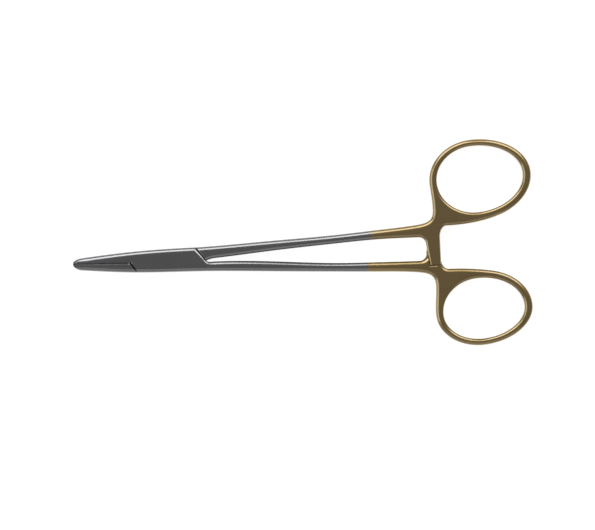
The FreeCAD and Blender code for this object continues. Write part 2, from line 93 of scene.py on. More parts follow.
# Box lock, in millimetres and degrees; x runs to the rings and y to the male half's ring
BOX_REACH = 12.2
BOX_HALF_FRONT = 3.35
BOX_HALF_REAR = 4.0
BOX_FLAT_FRONT = 10.0
BOX_FLAT_REAR = 12.5
CHEEK_ANGLE = 55.0
SHOULDER_GAP = 0.03
CROTCH_X = 15.5
CROTCH_DROP = 0.97
CROTCH_RISE = 0.15
CROTCH_LEAN = 4.0
TONGUE_WIDTH = 4.4
TONGUE_THICKNESS = 1.9
TONGUE_ROOT = 1.2
TONGUE_LEAN = 6.5
TONGUE_FACE_GAP = 0.05
TONGUE_SIDE_GAP = 0.3
OPENING_SPARE = 2.0
PIN_RADIUS = 1.3
PIN_RUNNING_GAP = 0.03

# Jaws
NOSE_LENGTH = 2.9
NOSE_HALF_WIDTH = 2.02
TIP_HALF_THICKNESS = 1.3
MATING_DROP = 0.36
MATING_LEAN = 1.43
JAW_GAP = 0.01
SEAM_DEPTH = 0.5
TONGUE_CLEAR = 0.05
TONGUE_INSIDE = 0.1
INSERT_THICKNESS = 1.0
INSERT_SETBACK = 0.6

# How far a plan runs on past a shoulder that is cut into it afterwards
SEAM_OVERLAP = 4.0
LONG_OVERLAP = 6.0
SHORT_OVERLAP = 2.0
# Where the male half's inner edge meets the box's lower edge, under the cheeks
LANDING_X = BOX_REACH / 3

# Shank stations: distance along the axis, outer edge from the axis, width
SHANKS = {
    MALE: ((34.0, 5.0, 3.3), (55.0, 6.0, 2.85), (70.0, 7.1, 3.15), (82.4, 8.2, 4.2)),
    FEMALE: ((34.0, 5.0, 3.3), (55.0, 6.0, 2.85), (70.0, 6.66, 3.15), (82.4, 7.5, 3.84)),
}
WAIST_X = 55.0
WAIST_HALF_THICKNESS = 1.9
RING_HALF_THICKNESS = 2.2

# Finger holes: reach from the ring's centre to the root, away from the axis, far and toward it
HOLE = {MALE: (12.4, 10.6, 15.85, 11.1), FEMALE: (12.15, 9.2, 14.5, 10.55)}
BAND = (2.4, 2.1, 2.6, 2.6)
RING_TILT = 5.0
WEB_X = 87.35
WEB_RISE = 4.7
WEB_LEAVE = 0.8
WEB_INNER = {MALE: 7.45, FEMALE: 6.65}

# Ratchet arms
ARM_SIDE_X = 89.3
ARM_ROOT_WIDTH = 4.7
ARM_END_WIDTH = 3.5
ARM_REACH = 5.1
ARM_END_GAP = 0.27
ARM_SIDE_GAP = 0.15
ARM_FACE_GAP = 0.1
ARM_ROOT_RADIUS = 1.8
ARM_CROTCH_WIDTH = 2.3
ARM_CROTCH_LENGTH = 3.7
TOOTH_COUNT = 3
TOOTH_PITCH = 1.6
TOOTH_HEIGHT = 0.6

# Shares that shape the curves: a quarter circle's handle, the swept corner's handle, end slopes
ROUND = 0.5523
SWEPT = 0.7
JAW_SPREAD = 0.1
SHANK_SPREAD = 0.13

# The rolled edge: how steep it gets, in degrees, and the small corner below it, as a share
ROLL_END = 58.0
ROLL_CORNER = 0.25

# Mesh density: outline spacing in millimetres, steps round an edge, sides of a round hole
SPACING = 0.35
ROLL_STEPS = 8
CORNER_STEPS = 3
ROUND_SIDES = 96
ARC_STEPS = 40
# Sine of the turn that makes a corner, and how far its other edge reaches, in that edge's widths
SHARP_TURN = 0.3
CORNER_REACH = 1.3
# How far cutters stand past what they cut, and how close two points are the same
PAST = 1.0
MERGE = 0.0005
NEAR = 0.001
SMOOTH_ANGLE = 32.0

# The photograph: millimetres seen across it, its centre and how far it is turned
VIEW_WIDTH = 194.6
VIEW_CENTRE = (42.42, -3.29)
VIEW_TURN = -2.5


class NeedleHolderShape(bpy.types.PropertyGroup):
    """Widths of the rounded and broken edges, and the cut of the grip faces."""
    edge_round: bpy.props.FloatProperty(
        name="Edge rounding", description="Rounding along the box and the shanks",
        default=1.45 * MM, unit="LENGTH")
    band_round: bpy.props.FloatProperty(
        name="Band rounding", description="Rounding outside the finger rings",
        default=1.2 * MM, unit="LENGTH")
    hole_round: bpy.props.FloatProperty(
        name="Hole rounding", description="Rounding inside the finger rings",
        default=1.0 * MM, unit="LENGTH")
    arm_round: bpy.props.FloatProperty(
        name="Arm rounding", description="Rounding along the ratchet arms",
        default=0.8 * MM, unit="LENGTH")
    jaw_round: bpy.props.FloatProperty(
        name="Jaw rounding", description="Rounding along the outer edge of the jaws",
        default=1.45 * MM, unit="LENGTH")
    arm_root_round: bpy.props.FloatProperty(
        name="Arm root slope", description="Width of the slope at the root of the rear ratchet arm",
        default=2.1 * MM, unit="LENGTH")
    nose_round: bpy.props.FloatProperty(
        name="Nose rounding", description="Rounding round the tip of the jaws",
        default=0.9 * MM, unit="LENGTH")
    inner_round: bpy.props.FloatProperty(
        name="Inner rounding", description="Rounding between the two shanks",
        default=1.3 * MM, unit="LENGTH")
    ledge_round: bpy.props.FloatProperty(
        name="Ledge edge", description="Broken edge where the front arm ends",
        default=0.45 * MM, unit="LENGTH")
    cheek_round: bpy.props.FloatProperty(
        name="Cheek edge", description="Broken edge at the rear of the box",
        default=0.7 * MM, unit="LENGTH")
    seam_round: bpy.props.FloatProperty(
        name="Seam edge", description="Broken edges along the closed seams",
        default=0.28 * MM, unit="LENGTH")
    grip_pitch: bpy.props.FloatProperty(
        name="Grip pitch", description="Distance between the cross cuts of the grip faces",
        default=0.5 * MM, unit="LENGTH")
    grip_depth: bpy.props.FloatProperty(
        name="Grip depth", description="Depth of the cross cuts of the grip faces",
        default=0.12 * MM, unit="LENGTH")


class NeedleHolderFinish(bpy.types.PropertyGroup):
    """Colours of the steel, the plating and the grip faces."""
    steel: bpy.props.StringProperty(
        name="Steel", description="sRGB colour of the satin steel", default="7C7C7E")
    steel_dark: bpy.props.StringProperty(
        name="Steel, darker", description="sRGB colour in the steel's darker streaks",
        default="6C6C6E")
    gold: bpy.props.StringProperty(
        name="Plating", description="sRGB colour of the plated ring ends", default="9C7E2E")
    gold_dark: bpy.props.StringProperty(
        name="Plating, darker", description="sRGB colour in the plating's darker streaks",
        default="8A6E26")
    carbide: bpy.props.StringProperty(
        name="Carbide", description="sRGB colour of the sintered grip faces", default="646467")
    steel_roughness: bpy.props.FloatProperty(
        name="Steel roughness", description="Roughness of the satin steel", default=0.22,
        min=0, max=1, subtype="FACTOR")
    gold_roughness: bpy.props.FloatProperty(
        name="Plating roughness", description="Roughness of the plated satin", default=0.29,
        min=0, max=1, subtype="FACTOR")
    female_plating: bpy.props.FloatProperty(
        name="Lower plating edge", description="Where the lower shank's plating begins",
        default=65.4 * MM, unit="LENGTH")
    male_plating: bpy.props.FloatProperty(
        name="Upper plating edge", description="Where the upper shank's plating begins",
        default=66.9 * MM, unit="LENGTH")


class NeedleHolderStage(bpy.types.PropertyGroup):
    """Lights, floor and camera."""
    tip_key: bpy.props.FloatProperty(
        name="Key light, tip side", description="Power of the softbox up and to the tips",
        default=9.4, unit="POWER")
    ring_key: bpy.props.FloatProperty(
        name="Key light, ring side", description="Power of the softbox up and to the rings",
        default=6.9, unit="POWER")
    side: bpy.props.FloatProperty(
        name="Side light", description="Power of the softbox over the tips", default=6.5,
        unit="POWER")
    low: bpy.props.FloatProperty(
        name="Low light", description="Power of the softbox over the lower edge", default=3.0,
        unit="POWER")
    room: bpy.props.FloatProperty(
        name="Room", description="Strength of the plain room light", default=0.25, min=0)
    lens: bpy.props.FloatProperty(
        name="Lens", description="Focal length of the camera", default=135 * MM, unit="LENGTH")


# Curves in the plan

def heading(degrees):
    """Unit vector in the plan at an angle from +X."""
    return np.array([cos(radians(degrees)), sin(radians(degrees))])


def cubic(first, leave, last, arrive):
    """Points along a cubic from first, leaving along leave, to last, arriving along arrive."""
    first, last = np.asarray(first, float), np.asarray(last, float)
    poles = np.array([first, first + leave, last - arrive, last])
    length = np.linalg.norm(np.diff(poles, axis=0), axis=1).sum()
    share = np.linspace(0, 1, max(2, ceil(length / SPACING)) + 1)[:, None]
    rest = 1 - share
    return (poles[0] * rest ** 3 + 3 * poles[1] * rest ** 2 * share
            + 3 * poles[2] * rest * share ** 2 + poles[3] * share ** 3)


def line(first, last):
    """Points along a straight stretch."""
    third = (np.asarray(last, float) - first) / 3
    return cubic(first, third, last, third)


def join(paths):
    """One path from several that follow each other."""
    return np.concatenate([path[:-1] for path in paths[:-1]] + [paths[-1]])


def flowing(points, start, end):
    """Smooth path through points that leaves along start and arrives along end."""
    points = np.asarray(points, float)
    steps = np.linalg.norm(np.diff(points, axis=0), axis=1)
    count = len(points)
    system = np.eye(count)
    target = np.zeros((count, 2))
    target[0] = np.asarray(start, float) / np.linalg.norm(start)
    target[-1] = np.asarray(end, float) / np.linalg.norm(end)
    for i in range(1, count - 1):
        before, after = steps[i - 1], steps[i]
        system[i, i - 1:i + 2] = (1 / before, 2 / before + 2 / after, 1 / after)
        target[i] = 3 * ((points[i] - points[i - 1]) / before ** 2
                         + (points[i + 1] - points[i]) / after ** 2)
    slopes = np.linalg.solve(system, target)
    return join([cubic(points[i], slopes[i] * steps[i] / 3, points[i + 1],
                       slopes[i + 1] * steps[i] / 3) for i in range(count - 1)])


def clip(path, point, angle, keep_end):
    """The start or the end of a path, up to where it first crosses a line through point."""
    across = heading(angle + 90)
    side = (path - point) @ across
    crossing = int(np.argmax(side[:-1] * side[1:] <= 0))
    share = side[crossing] / (side[crossing] - side[crossing + 1])
    meet = path[crossing] + share * (path[crossing + 1] - path[crossing])
    if keep_end:
        return np.vstack([meet, path[crossing + 1:]])
    return np.vstack([path[:crossing + 1], meet])


def crossing(point, angle, other, other_angle):
    """Where two lines cross, each given by a point and an angle."""
    system = np.array([heading(angle), -heading(other_angle)]).T
    along, _ = np.linalg.solve(system, np.asarray(other, float) - point)
    return np.asarray(point, float) + along * heading(angle)


# Stretches of the outlines that both halves use

def ring_reaches(half, outside):
    """Centre of a ring and its reaches to the root, away from the axis, far and toward it."""
    side = 1 if half == MALE else -1
    centre = np.array(RING[half])
    far = heading(RING_TILT)
    away = np.array([-far[1], far[0]]) * side
    reaches = []
    for direction, reach, band in zip((-far, away, far, -away), HOLE[half], BAND):
        reaches.append(direction * (reach + band if outside else reach))
    return centre, reaches


def quarter(centre, first, last):
    """A quarter of an ellipse, from the end of one half axis to the end of the next."""
    return cubic(centre + first, last * ROUND, centre + last, first * -ROUND)


def hole_path(half):
    """Outline of the finger hole, with the band on the left."""
    centre, reaches = ring_reaches(half, outside=False)
    path = join([quarter(centre, reaches[i], reaches[(i + 1) % 4]) for i in range(4)])
    return path[::-1] if signed_area(path) > 0 else path


def signed_area(path):
    """Area inside a closed path, positive when it runs anticlockwise."""
    x, y = path[:, 0], path[:, 1]
    return (x @ np.roll(y, -1) - y @ np.roll(x, -1)) / 2


def shank_ends(half):
    """Outer and inner edge points of a shank, from the box to the ring."""
    side = 1 if half == MALE else -1
    outer = [np.array([x, side * edge]) for x, edge, width in SHANKS[half]]
    inner = [np.array([x, side * (edge - width)]) for x, edge, width in SHANKS[half]]
    return outer, inner


def box_half_width(x):
    """Distance from the axis to the box's edge."""
    share = (x + BOX_REACH) / (2 * BOX_REACH)
    return BOX_HALF_FRONT + (BOX_HALF_REAR - BOX_HALF_FRONT) * share


def outer_edge(half):
    """Outer edge of a half, from the nose past the box to the ring."""
    side = 1 if half == MALE else -1
    outer, _ = shank_ends(half)
    points = [
        (NOSE_LENGTH - TIP_REACH, side * NOSE_HALF_WIDTH),
        (-BOX_REACH, side * BOX_HALF_FRONT),
        (BOX_REACH, side * BOX_HALF_REAR),
    ]
    return flowing(points + outer, (1, JAW_SPREAD * side), (1, SHANK_SPREAD * side))


def jaw_edge(side, from_x):
    """Outer edge of a jaw, from a place on the box forward to the nose."""
    points = [
        (from_x, side * box_half_width(from_x)),
        (-BOX_REACH, side * BOX_HALF_FRONT),
        (NOSE_LENGTH - TIP_REACH, side * NOSE_HALF_WIDTH),
    ]
    return flowing(points, (-1, 0), (-1, -JAW_SPREAD * side))


def nose(side):
    """Nose of one jaw, from its outer edge to the tip."""
    rise = (TIP_REACH - BOX_REACH) * tan(radians(MATING_LEAN))
    tip = (-TIP_REACH, rise - MATING_DROP)
    along = ROUND * NOSE_LENGTH
    start = (NOSE_LENGTH - TIP_REACH, side * NOSE_HALF_WIDTH)
    return cubic(start, np.array([-1, -JAW_SPREAD * side]) * along,
                 tip, np.array([0, -side * NOSE_HALF_WIDTH / 2]))


def ring_end(half, root_slope):
    """Stretches from the shank's outer edge round the ring, down the arm and back to the shank."""
    edge, band, arm_edge, between = map(width, ("edge", "band", "arm", "inner"))
    side = 1 if half == MALE else -1
    away = np.array([0, side])
    inward = np.array([-1, 0])
    outer, inner = shank_ends(half)
    outer_end, inner_end = outer[-1], inner[-1]
    centre, (root, ring_away, far, toward) = ring_reaches(half, outside=True)
    web_side = np.array([WEB_X, outer_end[1] + side * WEB_RISE])
    ring_root = centre + root
    side_handle = abs(ring_root[1] - web_side[1]) / 3
    ring_heading = ring_away / np.linalg.norm(ring_away)
    last = quarter(centre, far, toward)
    leave = int(len(last) * WEB_LEAVE)
    leave_heading = (last[leave] - last[leave - 1]) / np.linalg.norm(last[leave] - last[leave - 1])
    web_inner = np.array([ARM_SIDE_X + ARM_CROTCH_WIDTH, side * WEB_INNER[half]])
    crotch_end = np.array([ARM_SIDE_X, web_inner[1] - side * ARM_CROTCH_LENGTH])
    web_handle = (last[leave][0] - web_inner[0]) / 3
    root_bend = cubic(outer_end, np.array([1, SHANK_SPREAD * side]) * SWEPT * (WEB_X - outer_end[0]),
                      web_side, away * SWEPT * WEB_RISE)
    ring_and_web = join([
        cubic(web_side, away * side_handle, ring_root, ring_heading * side_handle),
        quarter(centre, root, ring_away),
        quarter(centre, ring_away, far),
        last[:leave + 1],
        cubic(last[leave], leave_heading * web_handle, web_inner, inward * web_handle),
        cubic(web_inner, inward * ROUND * ARM_CROTCH_WIDTH,
              crotch_end, away * -ROUND * ARM_CROTCH_LENGTH),
    ])
    half_end = ARM_END_WIDTH / 2
    foot = -side * (ARM_REACH + half_end)
    foot_right = np.array([ARM_SIDE_X, foot])
    foot_left = np.array([ARM_SIDE_X - ARM_END_WIDTH, foot])
    foot_mid = np.array([ARM_SIDE_X - half_end, foot - side * half_end])
    root_left = np.array([ARM_SIDE_X - ARM_ROOT_WIDTH, inner_end[1] - side * ARM_ROOT_RADIUS])
    arm_heading = (root_left - foot_left) / np.linalg.norm(root_left - foot_left)
    handle = ROUND * half_end
    arm = join([
        line(crotch_end, foot_right),
        cubic(foot_right, away * -handle, foot_mid, inward * handle),
        cubic(foot_mid, inward * handle, foot_left, away * handle),
    ])
    return [
        (root_bend, edge, band),
        (ring_and_web, band, band),
        (arm, band, arm_edge),
        (line(foot_left, root_left), arm_edge, root_slope),
        (cubic(root_left, arm_heading * ROUND * ARM_ROOT_RADIUS,
               inner_end, inward * ROUND * ARM_ROOT_RADIUS), root_slope, between),
    ]


# Plates with rounded edges

def half_thickness(x):
    """Half the thickness at each x: tapered jaws, flat box, thin shanks, even rings."""
    tip = np.array([-TIP_REACH - PAST, TIP_HALF_THICKNESS])
    flat_front = np.array([-BOX_FLAT_FRONT, HALF_BOX])
    taper = (flat_front - tip)[0] / 3
    climb = (flat_front - tip) / np.linalg.norm(flat_front - tip) * taper
    jaws = cubic(tip, climb, flat_front, np.array([taper, 0]))
    shanks = flowing([(BOX_FLAT_REAR, HALF_BOX), (WAIST_X, WAIST_HALF_THICKNESS),
                      (SHANKS[MALE][-1][0], RING_HALF_THICKNESS)], (1, 0), (1, 0))
    profile = np.vstack([jaws, shanks])
    return np.interp(x, profile[:, 0], profile[:, 1])


def mirrored(stretches):
    """The same stretches run the other way round, for an outline drawn clockwise."""
    return [(path[::-1], last, first) for path, first, last in reversed(stretches)]


def outline(stretches):
    """Points of a closed outline and the rounding width of the edge that leaves each point."""
    points = np.concatenate([path[:-1] for path, first, last in stretches])
    widths = np.concatenate([np.linspace(first, last, len(path) - 1)
                             for path, first, last in stretches])
    return points, widths


def roundings(points, widths):
    """How far each point moves inward and down over the whole rounding, and the corners."""
    along = np.roll(points, -1, axis=0) - points
    along /= np.linalg.norm(along, axis=1)[:, None]
    leaving = np.column_stack([-along[:, 1], along[:, 0]])
    coming = np.roll(leaving, 1, axis=0)
    before = np.roll(widths, 1)
    turn = coming[:, 0] * leaving[:, 1] - coming[:, 1] * leaving[:, 0]
    level = (coming * leaving).sum(axis=1)
    even = (before + widths) / 2
    inset = (coming + leaving) / (1 + level)[:, None] * even[:, None]
    drop = even.copy()
    for i in np.flatnonzero(np.abs(turn) > SHARP_TURN):
        inset[i] = np.linalg.solve([coming[i], leaving[i]], [before[i], widths[i]])
        drop[i] = max(before[i], widths[i])
    # A seam's edge falls away steeply, so that the groove between two closed faces is dark
    drop = np.where(drop <= width("seam"), SEAM_DEPTH, drop)
    return inset, drop, np.flatnonzero(turn > SHARP_TURN)


def beside_corners(points, inset, widths, corners):
    """Points close to an outward corner, with what the corner does to their rings.

    Each comes with its corner, the share of the rounding at which its ring meets the corner's,
    the inward normal of the corner's other edge, and the width of that edge's rounding.
    """
    count = len(points)
    beside = []
    for i in corners:
        for step, other in ((1, i - 1), (-1, i)):
            away = points[(i + step) % count] - points[i]
            away /= np.linalg.norm(away)
            along = step * (points[i] - points[(i - step) % count])
            inward = np.array([-along[1], along[0]]) / np.linalg.norm(along)
            reach = inset[i] @ away
            gone = 0
            j = i
            while True:
                last, j = j, (j + step) % count
                gone += np.linalg.norm(points[j] - points[last])
                if gone > max(reach, widths[other] * CORNER_REACH):
                    break
                share = gone / reach if reach > 0 else PAST
                beside.append((j, i, share, inward, widths[other]))
    return beside


def roll_profile():
    """Shares of the rounding's width moved inward and down, from the side up to the flat."""
    end = radians(ROLL_END)
    radius = 1 / (sin(end) + ROLL_CORNER * (1 - sin(end)))
    corner = radius * ROLL_CORNER
    profile = []
    for turn in np.linspace(pi / 2, end, CORNER_STEPS, endpoint=False):
        reach = radius * sin(end) + corner * (sin(turn) - sin(end))
        drop = radius * (1 - cos(end)) + corner * (cos(end) - cos(turn))
        profile.append((1 - reach, drop))
    for turn in np.linspace(end, 0, ROLL_STEPS + 1):
        profile.append((1 - radius * sin(turn), radius * (1 - cos(turn))))
    return profile


def rounded_plate(name, loops):
    """Closed plate with its plan from loops; the rounding's width changes along the outline.

    The inset operator has one width for a whole outline, so the rings are laid out here.
    """
    vertices = []
    faces = []
    profile = roll_profile()
    shares, downs = zip(*profile)
    for points, widths in loops:
        inset, drop, corners = roundings(points, widths)
        beside = beside_corners(points, inset, widths, corners)
        start = len(vertices)
        count = len(points)
        vertices += [(x, y, 0) for x, y in points]
        for inward, down in profile:
            ring = points + inset * inward
            depth = drop * down
            for j, i, share, normal, other in beside:
                if share < inward:
                    ring[j] = ring[i]
                    depth[j] = depth[i]
                else:
                    clear = (ring[j] - points[i]) @ normal / other
                    deep = SEAM_DEPTH if other <= width("seam") else other
                    depth[j] = max(depth[j], deep * np.interp(clear, shares, downs))
            level = half_thickness(ring[:, 0]) - depth
            vertices += list(zip(ring[:, 0], ring[:, 1], level))
        for row in range(len(profile)):
            for i in range(count):
                near = start + row * count + i
                far = start + row * count + (i + 1) % count
                faces.append((near, far, far + count, near + count))
    plate = new_object(name, vertices, faces)
    with editing(plate):
        bpy.ops.mesh.remove_doubles(threshold=MERGE)
        select(plate, "EDGE", lambda edge: edge.is_boundary and edge.verts[0].co.z > 0)
        bpy.ops.mesh.fill(use_beauty=True)
    add_modifier(plate, "MIRROR", use_axis=(False, False, True), merge_threshold=NEAR)
    tidy_normals(plate)
    return plate


# Work on objects and meshes

def activate(thing):
    """Selects only this object and makes it the active one."""
    bpy.ops.object.select_all(action="DESELECT")
    thing.select_set(True)
    bpy.context.view_layer.objects.active = thing


def new_object(name, vertices, faces):
    """Object with a mesh of these points and faces."""
    mesh = bpy.data.meshes.new(name)
    mesh.from_pydata(vertices, [], faces)
    thing = bpy.data.objects.new(name, mesh)
    bpy.context.collection.objects.link(thing)
    return thing


@contextmanager
def editing(thing):
    """Edit mode of one object, all selected, for as long as the block under it runs."""
    activate(thing)
    bpy.ops.object.mode_set(mode="EDIT")
    bpy.ops.mesh.select_all(action="SELECT")
    yield
    bpy.ops.object.mode_set(mode="OBJECT")


def select(thing, kind, test):
    """In edit mode, selects the edges or the faces that pass a test and no others."""
    bpy.ops.mesh.select_mode(type=kind)
    bpy.ops.mesh.select_all(action="DESELECT")
    mesh = bmesh.from_edit_mesh(thing.data)
    mesh.normal_update()
    for part in mesh.edges if kind == "EDGE" else mesh.faces:
        part.select = test(part)
    mesh.select_flush_mode()
    bmesh.update_edit_mesh(thing.data)


def add_modifier(thing, kind, **settings):
    """Adds a modifier with its settings and applies it at once."""
    activate(thing)
    modifier = thing.modifiers.new(kind.title(), kind)
    for key, value in settings.items():
        setattr(modifier, key, value)
    bpy.ops.object.modifier_apply(modifier=modifier.name)


def tidy_normals(thing):
    """Merges doubled points and turns every face outward."""
    with editing(thing):
        bpy.ops.mesh.remove_doubles(threshold=MERGE)
        bpy.ops.mesh.dissolve_degenerate(threshold=MERGE)
        bpy.ops.mesh.normals_make_consistent(inside=False)


def combine(thing, other, operation="DIFFERENCE", keep=False):
    """Boolean of two objects into the first one; the other is deleted unless it is kept."""
    add_modifier(thing, "BOOLEAN", object=other, operation=operation, solver="EXACT")
    if not keep:
        bpy.data.objects.remove(other)


def prism(name, corners, sweep):
    """Straight block: a flat polygon of corners, extruded along sweep."""
    block = new_object(name, [tuple(corner) for corner in corners], [tuple(range(len(corners)))])
    with editing(block):
        bpy.ops.mesh.extrude_region_move(TRANSFORM_OT_translate={"value": tuple(sweep)})
        bpy.ops.mesh.select_all(action="SELECT")
        bpy.ops.mesh.normals_make_consistent(inside=False)
    return block


def upright(name, corners, half_height):
    """Prism of plan corners that stands evenly on both sides of the middle."""
    return prism(name, [(x, y, -half_height) for x, y in corners], (0, 0, 2 * half_height))


def box(name, low, high):
    """Plain block between two corners."""
    corners = [(low[0], low[1]), (high[0], low[1]), (high[0], high[1]), (low[0], high[1])]
    return prism(name, [(x, y, low[2]) for x, y in corners], (0, 0, high[2] - low[2]))


def round_bar(name, radius):
    """Bar on the hinge axis that passes through the box."""
    bpy.ops.object.select_all(action="DESELECT")
    bpy.ops.mesh.primitive_cylinder_add(vertices=ROUND_SIDES, radius=radius,
                                        depth=2 * (HALF_BOX + PAST))
    bar = bpy.context.object
    bar.name = name
    return bar


def copy_of(thing, name):
    """A copy with a mesh of its own."""
    twin = thing.copy()
    twin.data = thing.data.copy()
    twin.name = name
    bpy.context.collection.objects.link(twin)
    return twin


def finish_piece(piece, body, node, material):
    """Takes a finished mesh into metres at the frame's place and hands it to the frame."""
    tidy_normals(piece)
    bpy.ops.object.shade_smooth_by_angle(angle=radians(SMOOTH_ANGLE))
    piece.data.transform(Matrix.Translation((0, 0, MIDDLE)))
    piece.data.transform(Matrix.Scale(MM, 4))
    add_modifier(piece, "WEIGHTED_NORMAL", keep_sharp=True)
    piece.data.materials.clear()
    piece.data.materials.append(material)
    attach(piece, body)
    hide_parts(node)


# The two forgings

MATING_START = np.array([-BOX_REACH, -MATING_DROP])
MATING_BACK = 180 - MATING_LEAN


def mating_point(offset):
    """A point of the mating line, moved across it by offset towards the upper jaw."""
    return MATING_START + np.array([0, offset / cos(radians(MATING_LEAN))])


def cheek_point(end, gap):
    """Where a cheek's end line, moved away from the box by gap, crosses the axis."""
    return np.array([end * (BOX_REACH + gap / sin(radians(CHEEK_ANGLE))), 0])


def width(name):
    """A rounding width in millimetres, from the panel's settings."""
    return getattr(bpy.context.scene.needle_holder_shape, name + "_round") / MM


def female_plan():
    """Upper jaw, both cheeks, lower shank, ring and arm, seen from above, anticlockwise."""
    edge, jaw, cheek, seam, between = map(width, ("edge", "jaw", "cheek", "seam", "inner"))
    face = mating_point(JAW_GAP / 2)
    front = cheek_point(-1, 0)
    rear = cheek_point(1, 0)
    # The lower edge starts before the front cheek, whose line is cut afterwards
    lower = outer_edge(FEMALE)
    lower = lower[lower[:, 0] > -BOX_REACH - SEAM_OVERLAP]
    upper = clip(jaw_edge(1, BOX_REACH - SHORT_OVERLAP), rear, -CHEEK_ANGLE, keep_end=True)
    tip = clip(nose(1), face, MATING_BACK, keep_end=False)
    inner = shank_ends(FEMALE)[1]
    crotch = np.array([CROTCH_X, -CROTCH_DROP])
    root = crossing(face, MATING_BACK, front, -CHEEK_ANGLE)
    # The cheek's edge runs smoothly into the lower shank's edge
    cheek_foot = rear - heading(-CHEEK_ANGLE) * CROTCH_DROP / 2
    flow = np.linalg.norm(cheek_foot - crotch) * ROUND
    return [
        (lower, edge, edge),
        *ring_end(FEMALE, width("arm_root")),
        (flowing(inner[::-1] + [crotch], (-1, 0), (-1, 0)), between, between),
        (cubic(crotch, np.array([-flow, 0]), cheek_foot, heading(180 - CHEEK_ANGLE) * flow),
         between, cheek),
        (line(cheek_foot, upper[0]), cheek, edge),
        (upper, edge, jaw),
        (tip, jaw, width("nose")),
        (line(tip[-1], root), seam, seam),
        (line(root, lower[0]), seam, seam),
    ]


def lower_jaw_plan():
    """Lower jaw of the male half, anticlockwise, before its shoulder is cut."""
    seam = width("seam")
    face = mating_point(-JAW_GAP / 2)
    root = face - heading(MATING_BACK) * SEAM_OVERLAP
    nose_path = clip(nose(-1), face, MATING_BACK, keep_end=False)[::-1]
    lower = jaw_edge(-1, LANDING_X)[::-1]
    lower = lower[lower[:, 0] < LONG_OVERLAP - BOX_REACH]
    return [
        (line(root, nose_path[0]), seam, seam),
        (nose_path, width("nose"), width("jaw")),
        (lower, width("jaw"), width("edge")),
        (line(lower[-1], root), seam, seam),
    ]


def under_cheek_edge():
    """The male half's inner edge where it runs in under the cheeks, towards the box."""
    crotch = np.array([CROTCH_X, CROTCH_RISE])
    handle = (CROTCH_X - LANDING_X) / 3
    return cubic(crotch, heading(180 + CROTCH_LEAN) * handle,
                 (LANDING_X, -box_half_width(LANDING_X)), np.array([-handle, 0]))


def upper_shank_plan():
    """Upper shank, ring and arm of the male half, anticlockwise, before its shoulder is cut."""
    edge, seam, between = map(width, ("edge", "seam", "inner"))
    under = under_cheek_edge()
    under = under[under[:, 0] > BOX_REACH - SHORT_OVERLAP][::-1]
    outer = outer_edge(MALE)[::-1]
    outer = outer[outer[:, 0] > BOX_REACH - LONG_OVERLAP]
    inner = shank_ends(MALE)[1]
    crotch = [np.array([CROTCH_X, CROTCH_RISE])]
    return [
        (under, between, between),
        (flowing(crotch + inner, heading(CROTCH_LEAN), (1, 0)), between, between),
        *mirrored(ring_end(MALE, width("arm"))),
        (outer, edge, edge),
        (line(outer[-1], under[0]), seam, seam),
    ]


def block_beside(name, point, along, deep):
    """Block through the whole thickness, on one side of the line through point."""
    return upright(name, [point - along, point + along, point + along + deep,
                          point - along + deep], HALF_BOX + PAST)


def seam_side(end, toward):
    """Block that ends at a shoulder's line and covers what lies on the box's side of it."""
    return block_beside("seam_side", cheek_point(end, SHOULDER_GAP),
                        heading(-CHEEK_ANGLE) * BOX_REACH, heading(toward) * BOX_REACH)


def below_upper_jaw():
    """Block in front of the front cheek's line and under the mating line."""
    root = crossing(mating_point(JAW_GAP / 2), MATING_BACK, cheek_point(-1, 0), -CHEEK_ANGLE)
    corners = [root] + [root + heading(angle) * BOX_REACH for angle in (-CHEEK_ANGLE, -100, -160)]
    return upright("below_upper_jaw", corners, HALF_BOX + PAST)


def seam_groove(forging, end, before, after):
    """Cuts steep grooves along a shoulder's line, above and below."""
    along = heading(-CHEEK_ANGLE)
    start = cheek_point(end, SHOULDER_GAP / 2) - along * before
    level = half_thickness(end * BOX_REACH)
    wide = heading(90 - CHEEK_ANGLE) * width("seam") * (SEAM_DEPTH + PAST) / SEAM_DEPTH
    for up in (1, -1):
        corners = [(*(start + wide), up * (level + PAST)), (*(start - wide), up * (level + PAST)),
                   (*start, up * (level - SEAM_DEPTH))]
        combine(forging, prism("seam_groove", corners, (*(along * (before + after)), 0)))


def make_tongue():
    """Thin middle of the male half, through the box, kept inside the forging's outline."""
    reach = BOX_REACH + TONGUE_ROOT
    along, across = heading(TONGUE_LEAN), heading(TONGUE_LEAN + 90)
    corners = [along * reach * end + across * TONGUE_WIDTH / 2 * side
               for end, side in ((-1, -1), (1, -1), (1, 1), (-1, 1))]
    tongue = upright("tongue", corners, TONGUE_THICKNESS / 2)
    inner = under_cheek_edge()
    lower = jaw_edge(-1, LANDING_X)
    upper = outer_edge(MALE)
    upper = upper[upper[:, 0] < CROTCH_X][::-1]
    inside = np.array([0, TONGUE_INSIDE])
    limits = upright("forging_outline", np.vstack([
        inner + inside, lower[1:] + inside, upper[::-1] - inside]), HALF_BOX)
    combine(tongue, limits, "INTERSECT")
    # The front corner stays clear of the upper jaw
    far = 2 * BOX_REACH
    clear = block_beside("clear_of_upper_jaw", MATING_START - np.array([0, TONGUE_CLEAR]),
                         heading(45) * far, heading(135) * far)
    combine(tongue, clear)
    return tongue


